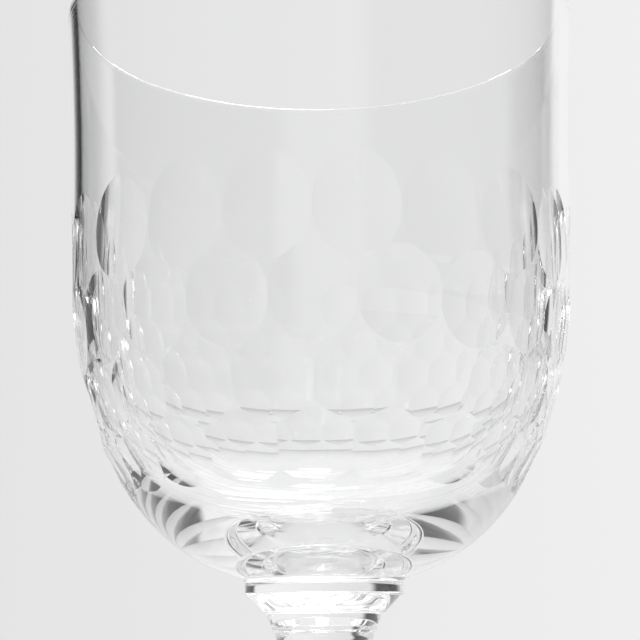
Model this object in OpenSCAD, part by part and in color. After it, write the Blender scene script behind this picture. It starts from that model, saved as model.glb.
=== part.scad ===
// Stemmed wine glass in clear crystal. The blown bowl carries four rows of olive cuts on its lower half. It stands
// on a collar, a ringed neck, a drawn stem and a round foot, each a gather of glass joined hot to the next.
// Heights run up from the underside of the foot. Depths run down from the lip.

/* [Overall] */
// Height of the whole glass, from the table to the lip
glass_h = 165; // [160:1:175]

/* [Bowl] */
// Outside diameter of the lip
lip_d = 76; // [74:1:80]
// Outside diameter where the wall starts to round in
belly_d = 73.5; // [72:0.5:76]
// Depth below the lip where the wall starts to round in
flare_h = 30.8; // [30.6:0.1:31.1]
// Height of the rounded part, taken to the point where it would close on the axis
round_h = 53.4; // [53.2:0.1:53.8]
// Squareness of the outer rounding, where 2 is an ellipse
round_pow = 2.48; // [2.4:0.02:2.6]
// Height of the bowl from its joint with the collar to the lip
bowl_h = 82.8; // [82.4:0.1:82.9]
// Thickness of the side wall and of the lip
wall = 1.4; // [1.3:0.1:1.8]
// Depth of the hollow, lip to bottom
hollow_h = 78.8; // [78:0.1:79.2]
// Squareness of the hollow's rounding
hollow_pow = 2.7; // [2.6:0.1:2.8]

/* [Olive cuts] */
// Number of cuts around each row
cuts_around = 20; // [18:1:22]
// Radius of the grinding wheel that makes them
wheel_r = 95; // [80:1:110]
// Width of the wheel's rim
wheel_w = 14; // [12:1:16]
// How far the wheel bites into the uncut wall
bite = 0.45; // [0.3:0.05:0.5]

/* [Collar and neck] */
// Diameter of the collar's waist
collar_d = 22.6; // [22:0.2:23.4]
// Height of the collar
collar_h = 2.6; // [2.4:0.1:3]
// Diameter of the neck's step, at the foot of its upper cone
step_d = 17.4; // [17:0.2:18]
// Diameter of the neck's ring, at the foot of its lower cone
ring_d = 15; // [14.8:0.1:15.4]
// Height of the neck
neck_h = 5; // [4.8:0.1:5.4]

/* [Stem and foot] */
// Diameter of the stem where it leaves the neck
stem_top_d = 14.2; // [13.8:0.1:14.4]
// Smallest diameter of the stem
stem_d = 8.6; // [7.6:0.2:9.4]
// Diameter of the stem where it meets the foot
stem_foot_d = 15; // [13:0.5:17]
// Diameter of the foot
foot_d = 72; // [70:1:76]
// Thickness of the foot at its edge
foot_edge = 2.2; // [2:0.1:2.6]
// Height of the foot at its middle
foot_h = 7; // [6:0.2:8]
// Width of the flat band that the glass stands on
foot_land = 5; // [4:0.5:8]
// How far the underside is hollowed inside that band
foot_hollow = 1.2; // [0.6:0.1:1.6]

/* [Hidden] */
GLASS = [0.88, 0.90, 0.91, 0.35];
TURN_FN = 120;             // fineness of the turned shapes
WHEEL_FN = 180;            // fineness of the grinding wheel

lip_r = lip_d / 2;
belly_r = belly_d / 2;
flare_pow = 1.7;           // how quickly the flare dies away below the lip
lip_round = wall / 2;      // the lip is fire-polished to a full round
slope_probe = 0.1;         // half of the span over which the wall's slope is taken

collar_z = glass_h - bowl_h - collar_h;
neck_z = collar_z - neck_h;
stem_h = neck_z - foot_h;

collar_edge = 0.5;         // rounding of the collar's lower edge
neck_top_r = collar_d / 2 - collar_edge;
step_share = 0.44;         // share of the neck's height that its upper cone takes
step_round = 0.4;          // width of the step between the two cones
ring_share = 0.82;         // share of the neck's height above the ring
ring_in = 0.15;            // how far the ring draws in towards its lower edge
neck_proud = 0.1;          // how far the neck's lower edge stands proud of the stem
stem_fade_top = 9;         // height over which the stem's upper flare falls to about a third
stem_fade_foot = 5;        // the same for its lower flare
dome_pow = 2.2;            // how late the foot's dome rises towards the stem

// Each row: depth of its middle below the lip, and its turn as a share of one cut's pitch
ROWS = [[38, 0.5], [49, 0], [59.5, 0.5], [67.5, 0]];

// Radius of the uncut outside of the bowl at a depth below the lip
function outer_r(d) =
    d < flare_h
        ? belly_r + (lip_r - belly_r) * pow(1 - d / flare_h, flare_pow)
        : belly_r * pow(1 - pow((d - flare_h) / round_h, round_pow), 1 / round_pow);

// Radius of the hollow at a depth below the lip
function hollow_r(d) =
    d < flare_h
        ? outer_r(d) - wall
        : (belly_r - wall) * pow(1 - pow((d - flare_h) / (hollow_h - flare_h), hollow_pow), 1 / hollow_pow);

// Angle by which the outside of the bowl faces down at a depth below the lip
function lean(d) = atan((outer_r(d - slope_probe) - outer_r(d + slope_probe)) / (2 * slope_probe));

// Depths from a to b in n steps, closer together towards b where the outline turns fastest
function steps(a, b, n) = [for (i = [0 : n]) a + (b - a) * sin(90 * i / n)];

// Radius of the stem at a height above the foot: a slim shaft with a flare that fades away from each end
function stem_r(h) =
    stem_d / 2
    + (stem_top_d - stem_d) / 2 * exp(-(stem_h - h) / stem_fade_top)
    + (stem_foot_d - stem_d) / 2 * exp(-h / stem_fade_foot);

// One pass of the grinding wheel, with its axle level and its rim pressed square to the wall
module olive_cut(depth, turn) {
    rotate([0, 0, turn])
        translate([outer_r(depth), 0, glass_h - depth])
            rotate([0, lean(depth), 0])
                translate([wheel_r - bite, 0, 0])
                    rotate([90, 0, 0])
                        cylinder(r = wheel_r, h = wheel_w, center = true, $fn = WHEEL_FN);
}

// The bowl as it leaves the blowing iron, before it is cut
module bowl_blank() {
    flare = [for (i = [0 : 5]) lip_round + (flare_h - lip_round) * i / 6];
    outside = concat(flare, steps(flare_h, bowl_h, 18));
    inside = concat(flare, steps(flare_h, hollow_h, 14));
    last = len(inside) - 1;
    rotate_extrude($fn = TURN_FN)
        polygon(concat(
            [for (a = [150 : -30 : 30])
                [outer_r(lip_round) - lip_round - lip_round * cos(a), glass_h - lip_round + lip_round * sin(a)]],
            [for (d = outside) [outer_r(d), glass_h - d]],
            [[0, glass_h - bowl_h]],
            [for (i = [0 : last]) [hollow_r(inside[last - i]), glass_h - inside[last - i]]]));
}

module bowl() {
    color(GLASS)
        difference() {
            bowl_blank();
            for (row = ROWS)
                for (i = [0 : cuts_around - 1])
                    olive_cut(row[0], 360 / cuts_around * (i + row[1]) - 90);
        }
}

// The collar flares up to the bowl in a quarter hollow and has a softened lower edge
module collar() {
    top_r = outer_r(bowl_h);
    waist_r = collar_d / 2;
    sweep = top_r - waist_r;
    color(GLASS)
        translate([0, 0, collar_z])
            rotate_extrude($fn = TURN_FN)
                polygon(concat(
                    [[0, collar_h]],
                    [for (a = [0 : 15 : 90]) [top_r - sweep * sin(a), collar_h - sweep * (1 - cos(a))]],
                    [for (a = [0 : 30 : 90])
                        [waist_r - collar_edge + collar_edge * cos(a), collar_edge - collar_edge * sin(a)]],
                    [[0, 0]]));
}

// The neck steps down in two cones to a small ring above the stem
module neck() {
    step_r = step_d / 2;
    ring_r = ring_d / 2;
    color(GLASS)
        translate([0, 0, neck_z])
            rotate_extrude($fn = TURN_FN)
                polygon([
                    [0, neck_h],
                    [neck_top_r, neck_h],
                    [step_r, neck_h * (1 - step_share)],
                    [step_r - step_round, neck_h * (1 - step_share) - step_round / 2],
                    [ring_r, neck_h * (1 - ring_share)],
                    [ring_r - ring_in, neck_h * (1 - ring_share) / 3],
                    [stem_top_d / 2 + neck_proud, 0],
                    [0, 0]]);
}

module stem() {
    color(GLASS)
        translate([0, 0, foot_h])
            rotate_extrude($fn = TURN_FN)
                polygon(concat(
                    [[0, 0]],
                    [for (i = [0 : 24]) [stem_r(stem_h * i / 24), stem_h * i / 24]],
                    [[0, stem_h]]));
}

// The foot domes gently up to the stem, with a rounded edge and a hollow underside
module foot() {
    foot_r = foot_d / 2;
    edge_round = foot_edge / 2;
    hollow_edge = foot_r - foot_land;
    dome_r = foot_r - edge_round;
    middle_r = stem_r(0);
    color(GLASS)
        rotate_extrude($fn = TURN_FN)
            polygon(concat(
                [for (i = [0 : 6]) [hollow_edge * i / 6, foot_hollow * cos(90 * i / 6)]],
                [for (a = [-90 : 30 : 90])
                    [dome_r + edge_round * cos(a), edge_round + edge_round * sin(a)]],
                [for (i = [1 : 10])
                    let (t = i / 10)
                    [dome_r + (middle_r - dome_r) * t, foot_edge + (foot_h - foot_edge) * pow(t, dome_pow)]],
                [[0, foot_h]]));
}

bowl();
collar();
neck();
stem();
foot();
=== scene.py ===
import math

import bpy
from mathutils import Matrix, Vector


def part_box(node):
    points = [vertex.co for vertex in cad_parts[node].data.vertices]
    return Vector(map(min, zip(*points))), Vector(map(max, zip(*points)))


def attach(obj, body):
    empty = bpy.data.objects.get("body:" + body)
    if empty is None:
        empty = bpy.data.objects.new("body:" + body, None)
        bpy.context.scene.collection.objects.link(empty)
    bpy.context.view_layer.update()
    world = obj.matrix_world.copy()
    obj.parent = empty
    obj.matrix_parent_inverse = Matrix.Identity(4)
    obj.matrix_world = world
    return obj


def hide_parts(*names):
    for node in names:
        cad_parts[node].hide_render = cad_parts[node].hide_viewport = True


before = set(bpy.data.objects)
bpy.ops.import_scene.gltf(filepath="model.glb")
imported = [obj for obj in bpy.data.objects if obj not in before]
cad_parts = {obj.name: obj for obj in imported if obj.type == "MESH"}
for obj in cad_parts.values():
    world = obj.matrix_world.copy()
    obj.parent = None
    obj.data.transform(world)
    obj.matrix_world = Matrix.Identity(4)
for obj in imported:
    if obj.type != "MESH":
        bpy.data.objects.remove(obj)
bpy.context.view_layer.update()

# ---------------------------------------------------------------------------------------------
# Bowl
# Clear crystal, blown thin in a turning mould and fire-polished at the lip. Its base is about three
# times as thick as its wall, and the gathers of the collar, neck and stem are joined to it hot.
# ---------------------------------------------------------------------------------------------
mm = 0.001
bowl_low, bowl_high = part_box("bowl")
glass_h = bowl_high.z
lip_r = 38 * mm
belly_r = 36.75 * mm
flare_h = 30.8 * mm
flare_pow = 1.7
round_h = 53.4 * mm
round_pow = 2.48
bowl_h = glass_h - bowl_low.z
wall = 1.4 * mm
lip_round = wall / 2
hollow_h = 78.8 * mm
hollow_pow = 2.7


def outer_r(depth):
    """Radius of the uncut outside of the bowl at a depth below the lip."""
    if depth < flare_h:
        return belly_r + (lip_r - belly_r) * (1 - depth / flare_h) ** flare_pow
    return belly_r * (1 - ((depth - flare_h) / round_h) ** round_pow) ** (1 / round_pow)


def hollow_r(depth):
    """Radius of the hollow at a depth below the lip."""
    if depth < flare_h:
        return outer_r(depth) - wall
    share = min((depth - flare_h) / (hollow_h - flare_h), 1)
    return (belly_r - wall) * (1 - share ** hollow_pow) ** (1 / hollow_pow)


def eased(start, end, count):
    """Depths from start to end, closer together towards the end, where the outline turns fastest."""
    return [start + (end - start) * math.sin(math.pi / 2 * i / count) for i in range(count + 1)]


def turned(name, outline, steps=256):
    """A closed turned shape: its outline is drawn point by point and spun about the upright axis."""
    bpy.ops.object.select_all(action="DESELECT")
    bpy.ops.mesh.primitive_plane_add(size=mm)
    piece = bpy.context.object
    piece.name = name
    bpy.ops.object.mode_set(mode="EDIT")
    bpy.ops.mesh.select_all(action="SELECT")
    bpy.ops.mesh.merge(type="CENTER")
    here = Vector((0, 0, 0))
    for number, (r, z) in enumerate(outline):
        there = Vector((r, 0, z))
        if number == 0:
            bpy.ops.transform.translate(value=there)
        else:
            bpy.ops.mesh.extrude_region_move(TRANSFORM_OT_translate={"value": there - here})
        here = there
    bpy.ops.mesh.select_all(action="SELECT")
    bpy.ops.mesh.spin(steps=steps, angle=2 * math.pi, center=(0, 0, 0), axis=(0, 0, 1))
    bpy.ops.mesh.select_all(action="SELECT")
    bpy.ops.mesh.remove_doubles(threshold=0.002 * mm)
    bpy.ops.mesh.normals_make_consistent(inside=False)
    bpy.ops.object.mode_set(mode="OBJECT")
    return piece


def select_only(piece):
    bpy.ops.object.select_all(action="DESELECT")
    piece.select_set(True)
    bpy.context.view_layer.objects.active = piece


flare_steps = 20
flare = [lip_round + (flare_h - lip_round) * i / flare_steps for i in range(flare_steps)]
outside = flare + eased(flare_h, bowl_h, 90)
inside = flare + eased(flare_h, hollow_h, 80)
lip_centre = outer_r(lip_round) - lip_round
half_turn = [math.pi * i / 12 for i in range(1, 12)]
lip = [(lip_centre - lip_round * math.cos(a), glass_h - lip_round + lip_round * math.sin(a))
       for a in half_turn]
outline = [(hollow_r(d), glass_h - d) for d in reversed(inside)]
outline += lip
outline += [(outer_r(d), glass_h - d) for d in outside]
outline += [(0, bowl_low.z)]
bowl = turned("blown_bowl", outline)


class Wire:
    """One output of a node in a finish. Arithmetic on wires adds the nodes that do it."""

    def __init__(self, tree, socket):
        self.tree = tree
        self.socket = socket

    def node(self, kind, settings, sockets, output=0):
        """Adds a node: its settings are made first, then its sockets get numbers or wires."""
        made = self.tree.nodes.new(kind)
        for name, value in settings.items():
            setattr(made, name, value)
        for name, value in sockets.items():
            if isinstance(value, Wire):
                self.tree.links.new(value.socket, made.inputs[name])
            else:
                made.inputs[name].default_value = value
        return Wire(self.tree, made.outputs[output])

    def math(self, operation, first, second=0.0):
        return self.node("ShaderNodeMath", {"operation": operation}, {0: first, 1: second})

    def __add__(self, other):
        return self.math("ADD", self, other)

    def __radd__(self, other):
        return self.math("ADD", other, self)

    def __sub__(self, other):
        return self.math("SUBTRACT", self, other)

    def __rsub__(self, other):
        return self.math("SUBTRACT", other, self)

    def __mul__(self, other):
        return self.math("MULTIPLY", self, other)

    def __rmul__(self, other):
        return self.math("MULTIPLY", other, self)

    def __pow__(self, other):
        return self.math("POWER", self, other)

    def part(self, axis):
        """The x, y or z share of a place or direction."""
        return self.node("ShaderNodeSeparateXYZ", {}, {0: self}, output="XYZ".index(axis))

    def noise(self, place, scale, detail=2.0, stretch=(1, 1, 1)):
        """Cloudy noise from 0 to 1, with scale in lumps to the metre along each axis."""
        spread = self.node("ShaderNodeVectorMath", {"operation": "MULTIPLY"}, {0: place, 1: stretch})
        return self.node("ShaderNodeTexNoise", {}, {"Vector": spread, "Scale": scale, "Detail": detail})

    def fade(self, value, low, high):
        """0 below low, 1 above high, and a soft ramp between."""
        return self.node("ShaderNodeMapRange", {"interpolation_type": "SMOOTHSTEP"},
                         {"Value": value, "From Min": low, "From Max": high})


def finish_of(name):
    """A new clear crystal finish, with its shader and the place on the piece as a wire."""
    made = bpy.data.materials.new(name)
    made.use_nodes = True
    shader = made.node_tree.nodes["Principled BSDF"]
    shader.inputs["Base Color"].default_value = (0.995, 0.998, 0.997, 1)
    shader.inputs["Transmission Weight"].default_value = 1
    shader.inputs["IOR"].default_value = 1.54
    start = Wire(made.node_tree, None)
    place = start.node("ShaderNodeTexCoord", {}, {}, output=3)
    return made, shader, place


def polish(shader, place, relief, relief_h, haze):
    """Gives a crystal surface a relief, relief_h high in metres, and a haze of wear and wiping."""
    bump = place.node("ShaderNodeBump", {}, {"Height": relief, "Distance": relief_h, "Strength": 1.0})
    tree = place.tree
    tree.links.new(bump.socket, shader.inputs["Normal"])
    tree.links.new(haze.socket, shader.inputs["Roughness"])


def fused_joint():
    """Where two gathers of glass are fused there is no surface left, so light goes straight on."""
    made = bpy.data.materials.new("fused_joint")
    made.use_nodes = True
    made.node_tree.nodes["Principled BSDF"].inputs["Alpha"].default_value = 0
    return made


def fuse(piece, height):
    """Gives the flat faces at a height the fused joint."""
    flat = 0.01 * mm
    for face in piece.data.polygons:
        if all(abs(piece.data.vertices[v].co.z - height) < flat for v in face.vertices):
            face.material_index = 1


joint = fused_joint()

# Cords are the faint upright streaks of glass that was not quite evenly mixed, dimples are left by
# the mould, and wipes are what a cloth leaves behind.
blown, shader, place = finish_of("blown_crystal")
cords = place.noise(place, 90, 1.0, (1, 1, 0.16))
dimples = place.noise(place, 220, 2.0)
wipes = place.fade(place.noise(place, 35, 4.0, (1, 1, 2.5)), 0.55, 0.8)
polish(shader, place, cords + dimples * 0.05, 0.02 * mm, wipes * 0.02)
bowl.data.materials.clear()
bowl.data.materials.append(blown)
bowl.data.materials.append(joint)
fuse(bowl, bowl_low.z)

# The olives: once the glass is cold, a flat-rimmed wheel is pressed square to the wall, row by row,
# with its axle level, and each cut is polished bright again. Only the wheel's working edge is made.
wheel_r = 95 * mm
wheel_w = 13 * mm
bite = 0.45 * mm
rim_depth = 2 * mm
slope_probe = 0.1 * mm
cuts_around = 20
rows = ((38.0 * mm, 0.5), (49.0 * mm, 0), (59.5 * mm, 0.5), (67.5 * mm, 0))

bpy.ops.object.select_all(action="DESELECT")
bpy.ops.mesh.primitive_cylinder_add(vertices=900, radius=wheel_r, depth=wheel_w,
                                    rotation=(math.pi / 2, 0, 0))
wheel = bpy.context.object
bpy.ops.object.transform_apply(location=False, rotation=True, scale=False)
bpy.ops.object.mode_set(mode="EDIT")
bpy.ops.mesh.select_all(action="SELECT")
bpy.ops.mesh.bisect(plane_co=(rim_depth - wheel_r, 0, 0), plane_no=(1, 0, 0), use_fill=True, clear_outer=True)
bpy.ops.object.mode_set(mode="OBJECT")

cut, shader, place = finish_of("cut_crystal")
wrap_r = 36 * mm
around = place.math("ARCTAN2", place.part("Y"), place.part("X")) * wrap_r
level = place.node("ShaderNodeCombineXYZ", {}, {0: around, 1: 0.0, 2: place.part("Z")})
grind = place.noise(level, 1400, 2.0, (1, 1, 0.04))
ripples = place.noise(level, 260, 1.0)
polish(shader, place, grind * 0.02 + ripples, 0.003 * mm, grind * 0.02)
wheel.data.materials.clear()
wheel.data.materials.append(cut)

for depth, turn in rows:
    lean = math.atan((outer_r(depth - slope_probe) - outer_r(depth + slope_probe)) / (2 * slope_probe))
    # Neighbouring cuts overlap, so every second one is ground first, and then the ones between.
    for half in (0, 1):
        passes = []
        for i in range(half, cuts_around, 2):
            turn_to = 2 * math.pi / cuts_around * (i + turn) - math.pi / 2
            place_at = (Matrix.Rotation(turn_to, 4, "Z")
                        @ Matrix.Translation((outer_r(depth), 0, glass_h - depth))
                        @ Matrix.Rotation(lean, 4, "Y")
                        @ Matrix.Translation((wheel_r - bite, 0, 0)))
            one = wheel.copy()
            one.data = wheel.data.copy()
            one.data.transform(place_at)
            bpy.context.collection.objects.link(one)
            passes.append(one)
        bpy.ops.object.select_all(action="DESELECT")
        for one in passes:
            one.select_set(True)
        bpy.context.view_layer.objects.active = passes[0]
        bpy.ops.object.join()
        grinder = bpy.context.object
        select_only(bowl)
        ground = bowl.modifiers.new("grind", "BOOLEAN")
        ground.operation = "DIFFERENCE"
        ground.solver = "EXACT"
        ground.material_mode = "TRANSFER"
        ground.object = grinder
        bpy.ops.object.modifier_apply(modifier="grind")
        bpy.data.objects.remove(grinder)
bpy.data.objects.remove(wheel)

# The ridges between the cuts are shallow but crisp.
cut_ridge = math.radians(2.5)
select_only(bowl)
bpy.ops.object.shade_smooth_by_angle(angle=cut_ridge)
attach(bowl, "root")
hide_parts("bowl")

# ---------------------------------------------------------------------------------------------
# Collar
# A gather of hot clear crystal, dropped on the bowl's base and nipped to a waist with the jacks. It
# is fused to the bowl over its whole top and to the neck over its whole underside.
# ---------------------------------------------------------------------------------------------
collar_low, collar_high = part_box("collar")
waist_r = 11.3 * mm
collar_edge = 0.5 * mm
flare_r = outer_r(bowl_h)
sweep = flare_r - waist_r
flame_soft = math.radians(20)
quarter = [math.pi / 2 * i / 12 for i in range(13)]
outline = [(0, collar_high.z)]
outline += [(flare_r - sweep * math.sin(a), collar_high.z - sweep * (1 - math.cos(a))) for a in quarter]
outline += [(waist_r - collar_edge + collar_edge * math.cos(a),
             collar_low.z + collar_edge - collar_edge * math.sin(a)) for a in quarter]
outline += [(0, collar_low.z)]
collar = turned("collar_gather", outline)
nipped, shader, place = finish_of("nipped_crystal")
rings = place.noise(place, 160, 2.0, (0.15, 0.15, 1))
wipes = place.fade(place.noise(place, 120, 3.0), 0.55, 0.8)
polish(shader, place, rings, 0.02 * mm, wipes * 0.02)
collar.data.materials.clear()
collar.data.materials.append(nipped)
collar.data.materials.append(joint)
fuse(collar, collar_high.z)
fuse(collar, collar_low.z)
select_only(collar)
bpy.ops.object.shade_smooth_by_angle(angle=flame_soft)
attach(collar, "root")
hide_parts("collar")

# ---------------------------------------------------------------------------------------------
# Neck
# The top of the stem's gather of clear crystal, tooled into two cones with a small step between them
# and a ring below. It is fused to the collar, and its corners are softened by the flame.
# ---------------------------------------------------------------------------------------------
neck_low, neck_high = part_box("neck")
neck_h = neck_high.z - neck_low.z
neck_top_r = waist_r - collar_edge
step_r = 8.7 * mm
step_in = 0.4 * mm
ring_r = 7.5 * mm
ring_in = 0.15 * mm
stem_top_r = 7.1 * mm
neck_proud = 0.1 * mm


def softened(corners, count=6):
    """An outline of r, z and softness, with each corner rounded by its softness."""
    points = []
    for number, (r, z, soft) in enumerate(corners):
        here = Vector((r, z))
        if soft == 0:
            points.append((r, z))
            continue
        before = Vector(corners[number - 1][:2])
        after = Vector(corners[number + 1][:2])
        back = (before - here).normalized() * soft
        on = (after - here).normalized() * soft
        points += [tuple(here + back * (1 - i / count) ** 2 + on * (i / count) ** 2)
                   for i in range(count + 1)]
    return points


neck = turned("ringed_neck", softened([
    (0, neck_high.z, 0),
    (neck_top_r, neck_high.z, 0),
    (step_r, neck_low.z + 0.56 * neck_h, 0.15 * mm),
    (step_r - step_in, neck_low.z + 0.52 * neck_h, 0.15 * mm),
    (ring_r, neck_low.z + 0.18 * neck_h, 0.25 * mm),
    (ring_r - ring_in, neck_low.z + 0.06 * neck_h, 0.12 * mm),
    (stem_top_r + neck_proud, neck_low.z, 0),
    (0, neck_low.z, 0)]))
neck.data.materials.clear()
neck.data.materials.append(nipped)
neck.data.materials.append(joint)
fuse(neck, neck_high.z)
fuse(neck, neck_low.z)
select_only(neck)
bpy.ops.object.shade_smooth_by_angle(angle=flame_soft)
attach(neck, "root")
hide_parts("neck")

# ---------------------------------------------------------------------------------------------
# Stem
# A shaft of the same clear crystal, pulled down from the neck while soft, so it is slim in the middle
# and flares at both ends. It is fused to the foot.
# ---------------------------------------------------------------------------------------------
stem_low, stem_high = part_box("stem")
stem_r = 4.3 * mm
stem_foot_r = 7.5 * mm
fade_top = 9 * mm
fade_foot = 5 * mm


def drawn_r(z):
    """Radius of the drawn stem at a height."""
    top = (stem_top_r - stem_r) * math.exp((z - stem_high.z) / fade_top)
    foot = (stem_foot_r - stem_r) * math.exp((stem_low.z - z) / fade_foot)
    return stem_r + top + foot


pulls = 96
heights = [stem_high.z + (stem_low.z - stem_high.z) * i / pulls for i in range(pulls + 1)]
outline = [(0, stem_high.z)] + [(drawn_r(z), z) for z in heights] + [(0, stem_low.z)]
stem = turned("drawn_stem", outline, 160)
drawn, shader, place = finish_of("drawn_crystal")
lines = place.noise(place, 420, 2.0, (1, 1, 0.05))
wipes = place.fade(place.noise(place, 90, 3.0, (1, 1, 0.3)), 0.55, 0.8)
polish(shader, place, lines, 0.01 * mm, wipes * 0.03)
stem.data.materials.clear()
stem.data.materials.append(drawn)
stem.data.materials.append(joint)
fuse(stem, stem_high.z)
fuse(stem, stem_low.z)
select_only(stem)
bpy.ops.object.shade_smooth_by_angle(angle=flame_soft)
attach(stem, "root")
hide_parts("stem")

# ---------------------------------------------------------------------------------------------
# Foot
# A last gather of clear crystal on the stem's end, opened into a disc between wooden blades while it
# turns. It is hollow underneath, and the band that it stands on is scratched by use.
# ---------------------------------------------------------------------------------------------
foot_low, foot_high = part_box("foot")
foot_r = 36 * mm
foot_edge = 1.1 * mm
foot_land = 5 * mm
foot_hollow = 1.2 * mm
foot_h = foot_high.z
dome_r = foot_r - foot_edge
dome_pow = 2.2
hollow = [i / 24 for i in range(25)]
rim = [math.pi * (i / 16 - 0.5) for i in range(17)]
rise = [i / 40 for i in range(1, 41)]
outline = [((foot_r - foot_land) * t, foot_hollow * math.cos(math.pi / 2 * t)) for t in hollow]
outline += [(dome_r + foot_edge * math.cos(a), foot_edge + foot_edge * math.sin(a)) for a in rim]
outline += [(dome_r + (drawn_r(foot_h) - dome_r) * t,
             2 * foot_edge + (foot_h - 2 * foot_edge) * t ** dome_pow) for t in rise]
outline += [(0, foot_h)]
foot = turned("foot_disc", outline)
spun, shader, place = finish_of("spun_crystal")
across = (place.part("X") ** 2 + place.part("Y") ** 2) ** 0.5
low = 1 - place.fade(place.part("Z"), 0.02 * mm, 0.12 * mm)
land = place.fade(across, 30 * mm, 32 * mm) * low
ring_place = place.node("ShaderNodeCombineXYZ", {}, {0: across, 1: 0.0, 2: 0.0})
swirls = place.noise(ring_place, 300, 2.0)
scratches = place.noise(place, 2200, 3.0, (1, 0.2, 1))
wipes = place.fade(place.noise(place, 60, 3.0), 0.55, 0.8)
worn = scratches * land
polish(shader, place, swirls + worn * 0.1, 0.012 * mm, wipes * 0.02 + worn * 0.15)
foot.data.materials.clear()
foot.data.materials.append(spun)
foot.data.materials.append(joint)
fuse(foot, foot_h)
select_only(foot)
bpy.ops.object.shade_smooth_by_angle(angle=flame_soft)
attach(foot, "root")
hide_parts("foot")

# ---------------------------------------------------------------------------------------------
# Floor
# A wide sheet of pale matt paper. It lies a hair below the foot, so that the two never share a plane.
# ---------------------------------------------------------------------------------------------
floor_r = 5.0
floor_gap = 0.02 * mm
bpy.ops.object.select_all(action="DESELECT")
bpy.ops.mesh.primitive_circle_add(vertices=96, radius=floor_r, fill_type="NGON",
                                  location=(0, 0, -floor_gap))
floor = bpy.context.object
floor.name = "floor"
paper = bpy.data.materials.new("pale_paper")
paper.use_nodes = True
shader = paper.node_tree.nodes["Principled BSDF"]
shader.inputs["Base Color"].default_value = (0.78, 0.78, 0.78, 1)
shader.inputs["Roughness"].default_value = 0.8
floor.data.materials.clear()
floor.data.materials.append(paper)

# ---------------------------------------------------------------------------------------------
# Studio light
# A white room lit from above, with a pale backdrop ahead of the camera and a dark gap on each side
# of it, which draws the glass's edges. Directions are in degrees: round from +Y to +X, and up.
# ---------------------------------------------------------------------------------------------
world = bpy.data.worlds.new("studio")
bpy.context.scene.world = world
world.use_nodes = True
sky = Wire(world.node_tree, None)
way = sky.node("ShaderNodeTexCoord", {}, {}, output=0)
round_to = way.math("ARCTAN2", way.part("X"), way.part("Y")) * math.degrees(1)
height_to = way.math("ARCSINE", way.part("Z")) * math.degrees(1)
backdrop = 0.766 + 0.126 * way.fade(round_to, -25, 25)
side_wall = 0.6
ceiling = 0.88
left_dark = 0.04
right_dark = 0.06
walls = backdrop + (side_wall - backdrop) * way.fade(way.math("ABSOLUTE", round_to), 60, 90)
left_gap = (1 - way.fade(round_to, -33, -26)) * way.fade(round_to, -75, -60)
left_gap = left_gap * (1 - way.fade(height_to, 45, 55))
right_gap = way.fade(round_to, 46, 52) * (1 - way.fade(round_to, 150, 165))
right_gap = right_gap * (1 - way.fade(height_to, 25, 40))
walls = walls + (ceiling - walls) * way.fade(height_to, 40, 55)
walls = walls + (left_dark - walls) * left_gap
walls = walls + (right_dark - walls) * right_gap
world.node_tree.links.new(walls.socket, world.node_tree.nodes["Background"].inputs["Color"])


def softbox(name, place_at, aim, width, height, radiance):
    """A soft rectangular lamp at a place, aimed at another, as bright as its radiance says."""
    bpy.ops.object.light_add(type="AREA", location=place_at)
    lamp = bpy.context.object
    lamp.name = name
    lamp.data.shape = "RECTANGLE"
    lamp.data.size = width
    lamp.data.size_y = height
    lamp.data.energy = radiance * math.pi * width * height
    lamp.rotation_euler = (Vector(aim) - lamp.location).to_track_quat("-Z", "Y").to_euler()


softbox("strip_light", (0.04, 0.4, 0.6), (0, 0.1, 0), 0.10, 0.5, 7)
softbox("overhead_light", (0, 1.1, 1.3), (0, 1.2, 0), 2.0, 1.2, 1.0)
bpy.context.scene.view_settings.view_transform = "Standard"
# Light that is caught inside the wall turns many times before it gets out, so it gets many bounces.
# No reflection is blurred, so that light also gets through the foot to the paper under it.
limits = bpy.context.scene.cycles
limits.max_bounces = 96
limits.glossy_bounces = 96
limits.transmission_bounces = 64
limits.transparent_max_bounces = 64
limits.blur_glossy = 0

# ---------------------------------------------------------------------------------------------
# Camera
# It stands low, level with the neck and close to the glass, and looks up at the bowl.
# ---------------------------------------------------------------------------------------------
camera_back = 216.6 * mm
camera_below_lip = 89.1 * mm
camera_round = math.radians(1.8)
camera_pitch = math.radians(11.4)
camera_turn = math.radians(0.065)
camera_roll = math.radians(-0.5)
look = (Matrix.Rotation(camera_round + camera_turn, 4, "Z")
        @ Matrix.Rotation(math.pi / 2 + camera_pitch, 4, "X")
        @ Matrix.Rotation(camera_roll, 4, "Z"))
stand = (camera_back * math.sin(camera_round),
         -camera_back * math.cos(camera_round),
         glass_h - camera_below_lip)
bpy.ops.object.camera_add(location=stand, rotation=look.to_euler())
camera = bpy.context.object
camera.name = "camera"
camera.data.sensor_width = 36
camera.data.lens = 84.4
camera.data.clip_start = 10 * mm
bpy.context.scene.camera = camera
